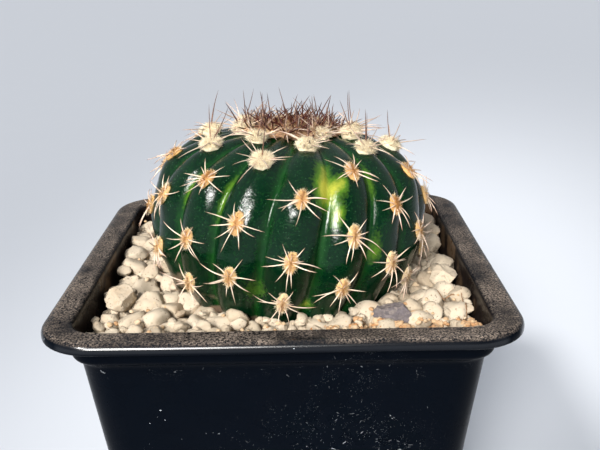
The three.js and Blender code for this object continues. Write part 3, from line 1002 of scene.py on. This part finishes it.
# yellowed places on the skin: rib position in ribs from the front one, level, widths, strength
yellowSpots = [
    (0.49, 14.5, 0.20, 3.3, 1.05),
    (0.36, 19.0, 0.22, 3.6, 0.5),
    (0.78, 16.0, 0.10, 2.2, 0.6),
    (0.70, 9.5, 0.11, 2.3, 0.6),
    (-1.5, 13.5, 0.07, 6.0, 0.55),
    (-2.5, 13.0, 0.07, 5.0, 0.45),
    (1.55, 17.0, 0.08, 6.0, 0.35),
    (1.62, 2.0, 0.12, 3.0, 0.5),
    (0.45, -11.0, 0.16, 1.2, 0.7),
    (-0.55, -7.0, 0.2, 2.5, 0.35),
    (-2.4, -9.0, 0.2, 2.0, 0.35),
    (4.5, 12.0, 0.1, 6.0, 0.5),
    (-6.5, 14.0, 0.12, 5.0, 0.6),
    (7.5, 8.0, 0.15, 5.0, 0.5),
]


def makeSkinMaterial():
    look = {
        "deep": (0.0003, 0.0078, 0.0032, 1), "green": (0.0008, 0.0165, 0.0052, 1),
        "furrow": (0.010, 0.072, 0.009, 1), "lime": (0.050, 0.120, 0.008, 1),
        "yellow": (0.31, 0.31, 0.036, 1), "cork": (0.15, 0.105, 0.07, 1), "speck": (0.10, 0.24, 0.12, 1),
    }
    m = Finish("cactusSkin", Specular_IOR_Level=0.28, Subsurface_Weight=0.03, Subsurface_Scale=0.0015,
               Subsurface_Radius=(0.35, 1.0, 0.25))
    cloud = m.use(mottle, Scale=150.0, Contrast=0.24)
    fine = m.noise(1700.0)
    body = m.blend(cloud, look["deep"], look["green"])
    body = m.blend(m.spread(fine, 0.50, 0.75, 0.0, 0.20), body, look["furrow"])
    patchy = m.spread(m.noise(220.0, 2.0), 0.35, 0.65, 0.25, 0.62)
    ragged = m.fray(m.stored("furrow"), fine, 0.35)
    body = m.tint(body, m.spread(ragged, 0.35, 1.05), patchy, look["furrow"])
    edge = m.fray(m.stored("yellow"), fine, 0.45)
    body = m.blend(m.spread(edge, 0.10, 0.45), body, look["lime"])
    body = m.blend(m.spread(edge, 0.45, 0.95), body, look["yellow"])
    body = m.tint(body, m.use(fineSpecks, Scale=2100.0, Size=0.19, Spread=0.50), 0.4, look["speck"])
    corkShare = m.spread(m.fray(m.stored("cork"), cloud, 0.5), 0.4, 0.8)
    m.feed("Base Color", m.blend(corkShare, body, look["cork"]))
    m.feed("Roughness", m.plus(m.spread(fine, 0.3, 0.75, 0.10, 0.22), m.times(corkShare, 0.4)))
    m.bump(m.plus(m.times(m.noise(2600.0, 3.0), 0.5), m.noise(420.0, 3.0)), 0.34, 0.00025)
    return m.material


def makeBody():
    f = plantForm
    lowest = f["lowestLevel"]
    columns = f["ribs"] * f["columnsPerRib"]
    ribAngle = (np.arange(columns) + 0.5 - columns / 2) * 360 / columns
    levels = np.concatenate([np.linspace(lowest, -18, 12, endpoint=False),
                             np.linspace(-18, topLevel - 0.3, 128)])
    skin = skinPoint(ribAngle[None, :], levels[:, None]).reshape(-1, 3)
    share = np.tile(ribAngle * f["ribs"] / 360, len(levels))
    level = np.repeat(levels, columns)
    across = 2 * np.abs(share - np.round(share))
    yellow = np.zeros(len(skin))
    for rib, at, wide, tall, strength in yellowSpots:
        yellow += strength * bell(share - rib, wide) * bell(level - at, tall)
    yellow *= 1 + 0.35 * softNoise(skin, 5.0, 61)
    leftBase = bell(share + 2.3, 1.3) * np.clip((-5.5 - level) / 4.0, 0, 1)
    cork = np.clip((-14.0 - level) / 3.0, 0, 1) + leftBase * (0.55 + 0.35 * softNoise(skin, 4, 62))
    # the neck and root in the ground, from the lowest ring up
    neckZ = float(crestAt(lowest)[1]) - 3
    turn = azimuthAt(ribAngle, lowest)
    rootRings = []
    for width, depth in ((0.45, f["rootLength"] - 1), (0.8, f["rootLength"] * 0.4), (1.0, 0.0)):
        z = neckZ - depth
        reach = f["rootRadius"] * width * (1 + 0.08 * np.sin(3 * turn + z))
        rootRings.append(np.stack([reach * np.sin(turn), -reach * np.cos(turn), np.full(columns, z)], 1))
    ends = [[0, 0, float(crestAt(topLevel)[1])], [0, 0, neckZ - f["rootLength"]]]

    def whole(values, onRoot=0.0):  # adds the values of the root and of the two end vertices
        return np.concatenate([np.full(len(rootRings) * columns, onRoot), values, [0.0, onRoot]])

    heap = Heap()
    heap.add(toPot(np.vstack(rootRings + [skin, ends])), closedFaces(len(rootRings) + len(levels), columns),
             furrow=whole(across ** 3), yellow=whole(np.clip(yellow, 0, 1.2)), cork=whole(cork, 1.0))
    piece = heap.piece("cactusBody", makeSkinMaterial())
    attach(piece, "root")
    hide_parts("cactus_body")


makeBody()
print("plant body built")


areoleForm = {
    "padSize": (1.25, 2.2, 0.75),  # half width, half height along the rib, height off the skin
    "fibres": 320,
    "fibreLength": 0.8,
    "woollyFrom": 20.5,  # level above which an areole is a tuft
    "highest": 34.5,
    "tuftRadius": 1.95,
    "tuftHigh": 1.25,
    "tuftFibres": 1500,
    "tuftFibreLength": 1.15,
}

# the fan of radial spines: turn from straight up, length
spineFan = [
    (-42, 5.2), (36, 5.0), (-86, 6.5), (82, 6.4), (-112, 5.9),
    (116, 5.8), (-146, 5.7), (148, 5.6), (-178, 6.2),
]
smallFan = [(-12, 2.2), (62, 3.0), (-66, 3.1)]

# a pair holds the limits of a random value; age runs from 0 on young spines to 1 on old ones
spineKinds = {
    "tuft": {"scatter": 11, "rise": (10, 40), "stretch": (0.95, 1.45), "radius": 0.15, "bend": (-4, 22),
             "age": (0.5, 0.95), "tone": (0.2, 0.9), "sweep": 10},
    "central": {"scatter": 28, "rise": (38, 75), "stretch": (6.5, 9.0), "radius": 0.14, "bend": (-14, 10),
                "age": 0.12, "tone": (0.3, 0.8), "sweep": 0},
    "radial": {"scatter": 7, "rise": (8, 26), "stretch": (0.78, 1.1), "radius": (0.132, 0.17325),
               "bend": (2, 22), "age": 1.0, "tone": (0.35, 1.0), "sweep": 9},
    "small": {"scatter": 14, "rise": (18, 45), "stretch": (0.8, 1.1), "radius": 0.13, "bend": 5,
              "age": 0.75, "tone": (0.3, 0.8), "sweep": 0},
}


def makeSpineMaterial():
    look = {
        "base": (0.46, 0.22, 0.09, 1), "horn": (0.72, 0.53, 0.38, 1), "pale": (0.80, 0.66, 0.54, 1),
        "tip": (0.40, 0.22, 0.15, 1), "young": (0.055, 0.006, 0.007, 1), "youngTip": (0.014, 0.003, 0.005, 1),
        "youngBase": (0.26, 0.11, 0.06, 1),
    }
    m = Finish("spineHorn", Specular_IOR_Level=0.15)
    along = m.stored("along")
    old = m.ramp(along, [(0.0, look["base"]), (0.22, look["horn"]), (0.55, look["pale"]), (1.0, look["tip"])])
    fresh = m.ramp(along, [(0.0, look["youngBase"]), (0.3, look["young"]), (1.0, look["youngTip"])])
    streak = m.noise(900.0, 3.0)
    body = m.tint(m.blend(m.stored("age"), fresh, old), m.spread(streak, 0.45, 0.7), 0.25, look["base"])
    shade = m.spread(m.stored("tone"), 0.0, 1.0, 0.62, 1.08)
    dim = m.put("ShaderNodeCombineColor", {0: shade, 1: shade, 2: shade}).outputs[0]
    m.feed("Base Color", m.blend(1.0, body, dim, "MULTIPLY"))
    m.feed("Roughness", m.spread(streak, 0.3, 0.7, 0.38, 0.55))
    return m.material


def makeWoolMaterial():
    look = {
        "gold": (0.50, 0.24, 0.065, 1), "straw": (0.66, 0.44, 0.20, 1), "cream": (0.84, 0.765, 0.565, 1),
        "rust": (0.17, 0.055, 0.018, 1), "brown": (0.16, 0.065, 0.04, 1), "tan": (0.40, 0.26, 0.14, 1),
    }
    m = Finish("areoleWool", Specular_IOR_Level=0.15, Roughness=0.95)
    cloud = m.use(mottle, Scale=1400.0, Contrast=0.2)
    body = m.ramp(m.stored("cream"), [(0.0, look["gold"]), (0.45, look["straw"]), (1.0, look["cream"])])
    body = m.tint(body, m.stored("heart"), 0.9, look["rust"])
    body = m.tint(body, cloud, 0.25, look["gold"])
    dull = m.blend(cloud, look["brown"], look["tan"])
    m.feed("Base Color", m.blend(m.stored("crown"), body, dull))
    m.feed("Roughness", m.spread(cloud, 0, 1, 0.85, 1.0))
    m.bump(m.noise(4200.0, 4.0, 0.7), 0.6, 0.0002)
    return m.material


spineMaterial = makeSpineMaterial()
woolMaterial = makeWoolMaterial()
smallBall, smallBallFaces = icoBall(3)


def pick(source, value):  # a random value between the two limits of a pair, or a single value as it is
    return source.uniform(*value) if isinstance(value, tuple) else value


def addSpine(heap, here, axes, turn, rise, length, radius, startOut, bend, age, tone, sweep=0.0):
    # one tapered spine; turn from up towards the right, rise above the skin, bend back to it
    right, up, out = axes
    t = np.linspace(0, 1, 8)[:, None]
    lift = (rise - bend * t) * rad
    heading = (turn + sweep * t) * rad
    flat = np.sin(heading) * right + np.cos(heading) * up
    points = here + out * startOut + length * t * (np.cos(lift) * flat + np.sin(lift) * out)
    radii = radius * ((1 - t[:, 0]) ** 0.55 + 0.04)
    radii[0] *= 1.2
    verts, faces, along = taperedTube(points, radii, 6)
    heap.add(verts, faces, along=along, age=age, tone=tone)


def addKind(heap, here, axes, kind, turn, length, startOut, source, younger=0.0):
    # one spine with the scatter of its kind
    k = spineKinds[kind]
    turn = turn + source.normal() * k["scatter"]
    rise = source.uniform(*k["rise"])
    length = length * source.uniform(*k["stretch"])
    radius = pick(source, k["radius"])
    bend = pick(source, k["bend"])
    age = pick(source, k["age"]) - younger
    tone = source.uniform(*k["tone"])
    sweep = source.normal() * k["sweep"] if k["sweep"] else 0.0
    addSpine(heap, here, axes, turn, rise, length, radius, startOut, bend, age, tone, sweep)


def addPad(heap, here, axes, size, cream, seed, crown=0.0):
    # a felted cushion: a lumpy half-sunk ball
    lump = 1 + 0.10 * softNoise(smallBall, 0.9, seed) + 0.05 * softNoise(smallBall, 0.35, seed + 1)
    verts = here + (smallBall * lump[:, None] * np.array(size)) @ np.array(axes)
    slit = bell(smallBall[:, 0], 0.30) * bell(smallBall[:, 1], 0.75) * (smallBall[:, 2] > 0)
    heap.add(verts, [smallBallFaces], cream=cream, heart=slit * (1 - 0.8 * crown), crown=crown)


def addFelt(heap, here, axes, size, count, length, cream, source, crown=0.0, heartShare=0.85, thick=0.05):
    # a nap of short curled fibres standing on a cushion, each a thin three-sided spike
    frameOf = np.array(axes)  # right, up, out
    aim = source.normal(size=(count, 3))
    aim[:, 2] = np.abs(aim[:, 2]) + 0.15
    aim = unit(aim)
    start = here + (aim * np.array(size) * np.array([0.9, 0.9, 0.85])) @ frameOf
    heading = aim * np.array([1.0, 0.75, 1.0]) + source.normal(size=(count, 3)) * 0.35
    heading = unit(heading + np.array([0, 0, 0.25])) @ frameOf
    reach = length * source.uniform(0.55, 1.2, (count, 1))
    middle = start + heading * reach * 0.5
    tip = start + heading * reach + source.normal(size=(count, 3)) * length * 0.2
    side = unit(np.cross(heading, tubeHint))
    over = np.cross(heading, side)
    verts = np.zeros((count, 7, 3))
    for s in range(3):
        turn = 2 * math.pi * s / 3
        ring = thick * (math.cos(turn) * side + math.sin(turn) * over)
        verts[:, s] = start + ring
        verts[:, 3 + s] = middle + ring * 0.75
    verts[:, 6] = tip
    base = np.arange(count)[:, None, None] * 7
    quads = base + np.array([(0, 1, 4, 3), (1, 2, 5, 4), (2, 0, 3, 5)])
    ends = base + np.array([(3, 4, 6), (4, 5, 6), (5, 3, 6), (2, 1, 0)])
    heart = heartShare * bell(aim[:, 0], 0.34) * (np.abs(aim[:, 1]) < 0.75)
    heart = heart * source.uniform(0.5, 1.3, count)
    tone = np.clip(cream + 0.75 * (1 - aim[:, 2]) - 0.35 + source.normal(size=count) * 0.16, 0, 1)
    heap.add(verts.reshape(-1, 3), [quads.reshape(-1, 4), ends.reshape(-1, 3)],
             cream=np.repeat(tone, 7), heart=np.repeat(heart, 7), crown=crown)


def makeTuft(spines, wool, here, axes, source):  # a young, woolly areole near the crown
    f = areoleForm
    size = np.array([f["tuftRadius"], f["tuftRadius"], f["tuftHigh"]]) * source.uniform(0.9, 1.15)
    cream = source.uniform(0.85, 1.0)
    seat = here + axes[2] * 0.3
    addPad(wool, seat, axes, size, cream, source.integers(9000))
    addFelt(wool, seat, axes, size, f["tuftFibres"], f["tuftFibreLength"], cream + 0.3, source,
            heartShare=0.03, thick=0.035)
    for turn, length in spineFan:
        addKind(spines, here, axes, "tuft", turn, length, f["tuftHigh"] * 0.6, source)
    for _ in range(source.integers(1, 3)):
        addKind(spines, here, axes, "central", 0.0, 1.0, f["tuftHigh"] * 0.8, source)


def makeAreole(spines, wool, here, axes, level, source):
    f = areoleForm
    fromTop = min(max((level + 12) / 30, 0), 1)
    cream = min(max(0.62 - 0.45 * fromTop + source.normal() * 0.08, 0.05), 1)
    wide, tall, high = f["padSize"]
    size = (wide * source.uniform(0.9, 1.08), tall * source.uniform(0.9, 1.08), high)
    seat = here + axes[2] * 0.15
    addPad(wool, seat, axes, size, cream, source.integers(9000))
    addFelt(wool, seat, axes, size, f["fibres"], f["fibreLength"], min(cream + 0.3, 1), source, thick=0.042)
    for turn, length in spineFan:
        addKind(spines, here, axes, "radial", turn, length, 0.5, source, 0.12 * fromTop)
    for turn, length in smallFan:
        if source.uniform() < 0.6:
            addKind(spines, here, axes, "small", turn, length, 0.5, source)


def makeRibs():
    f = plantForm
    ground = toPlant([[0, 0, pumiceForm["surface"]]])[0][2]
    lowestLevel = float(np.interp(ground, lowerTable[2][::-1], -lowerTable[0][::-1])) + 1.2
    counted = 0
    for rib in range(f["ribs"]):
        ribAngle = (rib * 360 / f["ribs"] + 180) % 360 - 180
        spines, wool = Heap(), Heap()
        for row in range(-2, 4):
            level = areoleLevel(row + (rib * f["spiral"]) % 1)
            if not lowestLevel <= level <= areoleForm["highest"]:
                continue
            source = np.random.default_rng(1000 + rib * 17 + row)
            here, axes = localAxes(ribAngle, level)
            if level > areoleForm["woollyFrom"]:
                makeTuft(spines, wool, here, axes, source)
            else:
                makeAreole(spines, wool, here, axes, level, source)
            counted += 1
        nodes = [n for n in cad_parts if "areole_%d_" % (rib + 1) in n]
        for heap, kind, material in ((spines, "spinesRib", spineMaterial), (wool, "woolRib", woolMaterial)):
            piece = heap.piece("%s%02d" % (kind, rib + 1), material)
            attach(piece, "root")
            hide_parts(*nodes)
    print("areoles built:", counted)


makeRibs()


crownForm = {
    "radius": 10.8,
    "clusters": 36,
    "clusterPad": (1.0, 1.0, 0.7),
    "clusterFibres": 110,
    "spinesEach": 7,
    "tallSpines": 8,
    "high": 1.5,
}


def makeCrown():
    f = crownForm
    source = np.random.default_rng(4242)
    topZ = float(crestAt(topLevel)[1])
    axes = leanArray.T
    spines, wool = Heap(), Heap()
    dome, domeFaces = icoBall(4)
    lump = 1 + 0.07 * softNoise(dome, 0.5, 31) + 0.05 * softNoise(dome, 0.2, 32)
    ball = dome * lump[:, None] * np.array([f["radius"], f["radius"], f["high"] * 0.8])
    wool.add(toPot([0, 0, topZ]) + ball @ axes, [domeFaces], cream=0.4, heart=0.3, crown=1.0)

    def crownSpot(turn, reach, rise):  # a place on the crown, and the direction outward from its middle
        flat = np.array([math.sin(turn), -math.cos(turn), 0])
        return toPot(flat * reach + np.array([0, 0, topZ + f["high"] * rise])), leanArray @ flat

    for k in range(f["clusters"]):
        share = (k + 0.5) / f["clusters"]
        reach = f["radius"] * 1.02 * math.sqrt(share)
        spot, outward = crownSpot(k * goldenTurn, reach, 0.75 * (1 - 0.6 * share))
        lean = (12 + 46 * share) * rad
        out = math.cos(lean) * axes[2] + math.sin(lean) * outward
        up = -math.sin(lean) * axes[2] + math.cos(lean) * outward
        local = (np.cross(up, out), -up, out)
        crown = 0.35 if source.uniform() < 0.28 + 0.3 * share else 0.9
        addPad(wool, spot, local, f["clusterPad"], 0.75, source.integers(9000), crown)
        addFelt(wool, spot, local, f["clusterPad"], f["clusterFibres"], 1.0, 0.75, source, crown, 0.3, 0.045)
        for s in range(f["spinesEach"]):
            turn = 360 * s / f["spinesEach"] + source.normal() * 18
            rise = source.uniform(12, 66)
            length = source.uniform(3.0, 5.6) * (1 - 0.1 * share)
            age = min(max(source.normal() * 0.08 + 0.65 * share * (s % 4 == 0), 0), 0.8)
            bend = source.uniform(-22, 22)
            addSpine(spines, spot, local, turn, rise, length, 0.18, 0.2, bend, age,
                     source.uniform(0.2, 1.0), source.normal() * 8)
    for k in range(f["tallSpines"]):
        reach = f["radius"] * (0.25 + 0.85 * (k + 0.5) / f["tallSpines"])
        spot, outward = crownSpot(k * goldenTurn + 40 * rad, reach, 0.5)
        local = (np.cross(outward, axes[2]), outward, axes[2])
        length = source.uniform(6.0, 8.0)
        turn, rise, bend = source.normal() * 25, source.uniform(48, 82), source.uniform(-12, 12)
        addSpine(spines, spot, local, turn, rise, length, 0.17, 0.2, bend, 0.06, source.uniform(0.4, 0.9))
    for heap, name, material in ((spines, "crownSpines", spineMaterial), (wool, "crownWool", woolMaterial)):
        piece = heap.piece(name, material)
        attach(piece, "root")
        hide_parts("crown_wool_and_spines")


makeCrown()
print("crown built")


# dry roots on the stones
rootBits = {
    "corner": (34.6, -26.0),
    "scatter": (1.6, 4.2),
    "count": 9,
    "radius": 0.17,
    "points": 13,
    "step": 0.75,
    "wander": 22.0,
    "right": 36.6,
    "front": -36.4,
    "bevelFrom": -33.0,  # in front of this the lip's corner turns them back
}


def makeRootMaterial():
    m = Finish("dryRoot", Specular_IOR_Level=0.2)
    cloud = m.use(mottle, Scale=700.0, Contrast=0.25)
    m.feed("Base Color", m.blend(cloud, (0.10, 0.055, 0.03, 1), (0.34, 0.21, 0.12, 1)))
    m.feed("Roughness", m.spread(cloud, 0, 1, 0.7, 0.95))
    return m.material


def makeRootBits():
    f = rootBits
    source = np.random.default_rng(55)
    heap = Heap()
    for _ in range(f["count"]):
        x, y = [f["corner"][k] + source.normal() * f["scatter"][k] for k in (0, 1)]
        heading = source.uniform(50, 130)
        points = []
        for _ in range(f["points"]):
            x, y = min(x, f["right"] - max(0, f["bevelFrom"] - y)), max(y, f["front"])
            points.append([x, y, surfaceHeight(x, y) + 0.25])
            heading += source.normal() * f["wander"]
            x += math.cos(heading * rad) * f["step"]
            y += math.sin(heading * rad) * f["step"]
        points = np.array(points)
        for _ in range(3):
            points[1:-1] = (points[:-2] + points[1:-1] * 2 + points[2:]) / 4
        points[:, 2] += 0.12
        radii = [f["radius"] * source.uniform(0.7, 1.2) * (1 - 0.5 * s / 12) for s in range(f["points"])]
        heap.add(*taperedTube(points, radii, 6)[:2])
    piece = heap.piece("dryRootBits", makeRootMaterial())
    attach(piece, "root")
    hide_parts("pumice_bed")


makeRootBits()
print("root bits built")


studio = {
    "floor": (0.66, 0.69, 0.74, 1),
    "floorMottle": (0.6501, 0.67965, 0.7289, 1),
    "floorHalf": 9000.0,
    "world": (0.86, 0.90, 0.97, 1),
    "worldStrength": 0.54,
    "worldFront": 0.10,  # dimmer high up on the front side, so the glossy skin stays deep
    "warm": (1.0, 0.98, 0.95),
    "sun": 2.5,
    "sunWidth": 9.0,
    "sunDirection": (0.55, 0.72, -0.80),
    "keyPlace": (-0.12, -0.42, 0.31),
    "keyAim": (0.0, 0.0, 0.095),
    "keySize": (0.20, 0.22),
    "keyPower": 0.25,
    "keySpread": 24.0,
}


def makeFloor():
    m = Finish("paleFloor", Specular_IOR_Level=0.2, Roughness=0.8)
    cloud = m.use(mottle, Scale=30.0, Contrast=0.4)
    m.feed("Base Color", m.blend(cloud, studio["floor"], studio["floorMottle"]))
    side = studio["floorHalf"]
    corners = [(-side, -side, 0), (side, -side, 0), (side, side, 0), (-side, side, 0)]
    floor = buildMesh("studioFloor", corners, [(0, 1, 2, 3)], m.material, smooth=False)


def addLamp(name, kind, direction, energy):
    light = bpy.data.lights.new(name, kind)
    light.energy = energy
    light.color = studio["warm"]
    lamp = bpy.data.objects.new(name, light)
    bpy.context.scene.collection.objects.link(lamp)
    lamp.rotation_euler = Vector(direction).to_track_quat("-Z", "Y").to_euler()
    return lamp


def makeLamps():
    place = Vector(studio["keyPlace"])
    key = addLamp("keyBox", "AREA", Vector(studio["keyAim"]) - place, studio["keyPower"])
    key.location = place
    key.data.shape = "RECTANGLE"
    key.data.size, key.data.size_y = studio["keySize"]
    key.data.spread = studio["keySpread"] * rad
    sun = addLamp("sun", "SUN", studio["sunDirection"], studio["sun"])
    sun.data.angle = studio["sunWidth"] * rad


def makeWorld():
    world = bpy.data.worlds.new("studioWorld")
    world.use_nodes = True
    t = NodeTree(world.node_tree, None)
    sky = t.tree.nodes["Background"].inputs
    sky["Color"].default_value = studio["world"]
    aim = t.split(t.put("ShaderNodeTexCoord", {}).outputs["Generated"])
    dim = t.times(t.spread(t.times(aim["Y"], -1.0), 0.25, 0.7), t.spread(aim["Z"], 0.03, 0.25))
    t.tree.links.new(t.spread(dim, 0.0, 1.0, studio["worldStrength"], studio["worldFront"]), sky["Strength"])
    bpy.context.scene.world = world
    bpy.context.scene.view_settings.view_transform = "Standard"


cameraForm = {
    "place": (0.003496, -0.175051, rimZ * mm + 0.066138),
    "down": 18.874,  # degrees below level
    "roll": 0.89,
    "lens": 49.66,
    "sensor": 36.0,
    "clip": (0.01, 20.0),
}


def makeCamera():
    down, roll = cameraForm["down"] * rad, cameraForm["roll"] * rad
    ahead = Vector((0, math.cos(down), -math.sin(down)))
    right = Vector((1, 0, 0))
    above = right.cross(ahead)
    tiltedRight = math.cos(roll) * right - math.sin(roll) * above
    tiltedUp = math.sin(roll) * right + math.cos(roll) * above
    data = bpy.data.cameras.new("camera")
    data.lens = cameraForm["lens"]
    data.sensor_width = cameraForm["sensor"]
    data.clip_start, data.clip_end = cameraForm["clip"]
    camera = bpy.data.objects.new("camera", data)
    bpy.context.scene.collection.objects.link(camera)
    turn = Matrix((tiltedRight, tiltedUp, -ahead)).transposed().to_4x4()
    camera.matrix_world = Matrix.Translation(cameraForm["place"]) @ turn
    bpy.context.scene.camera = camera


makeCamera()
makeFloor()
makeLamps()
makeWorld()
print("studio built")
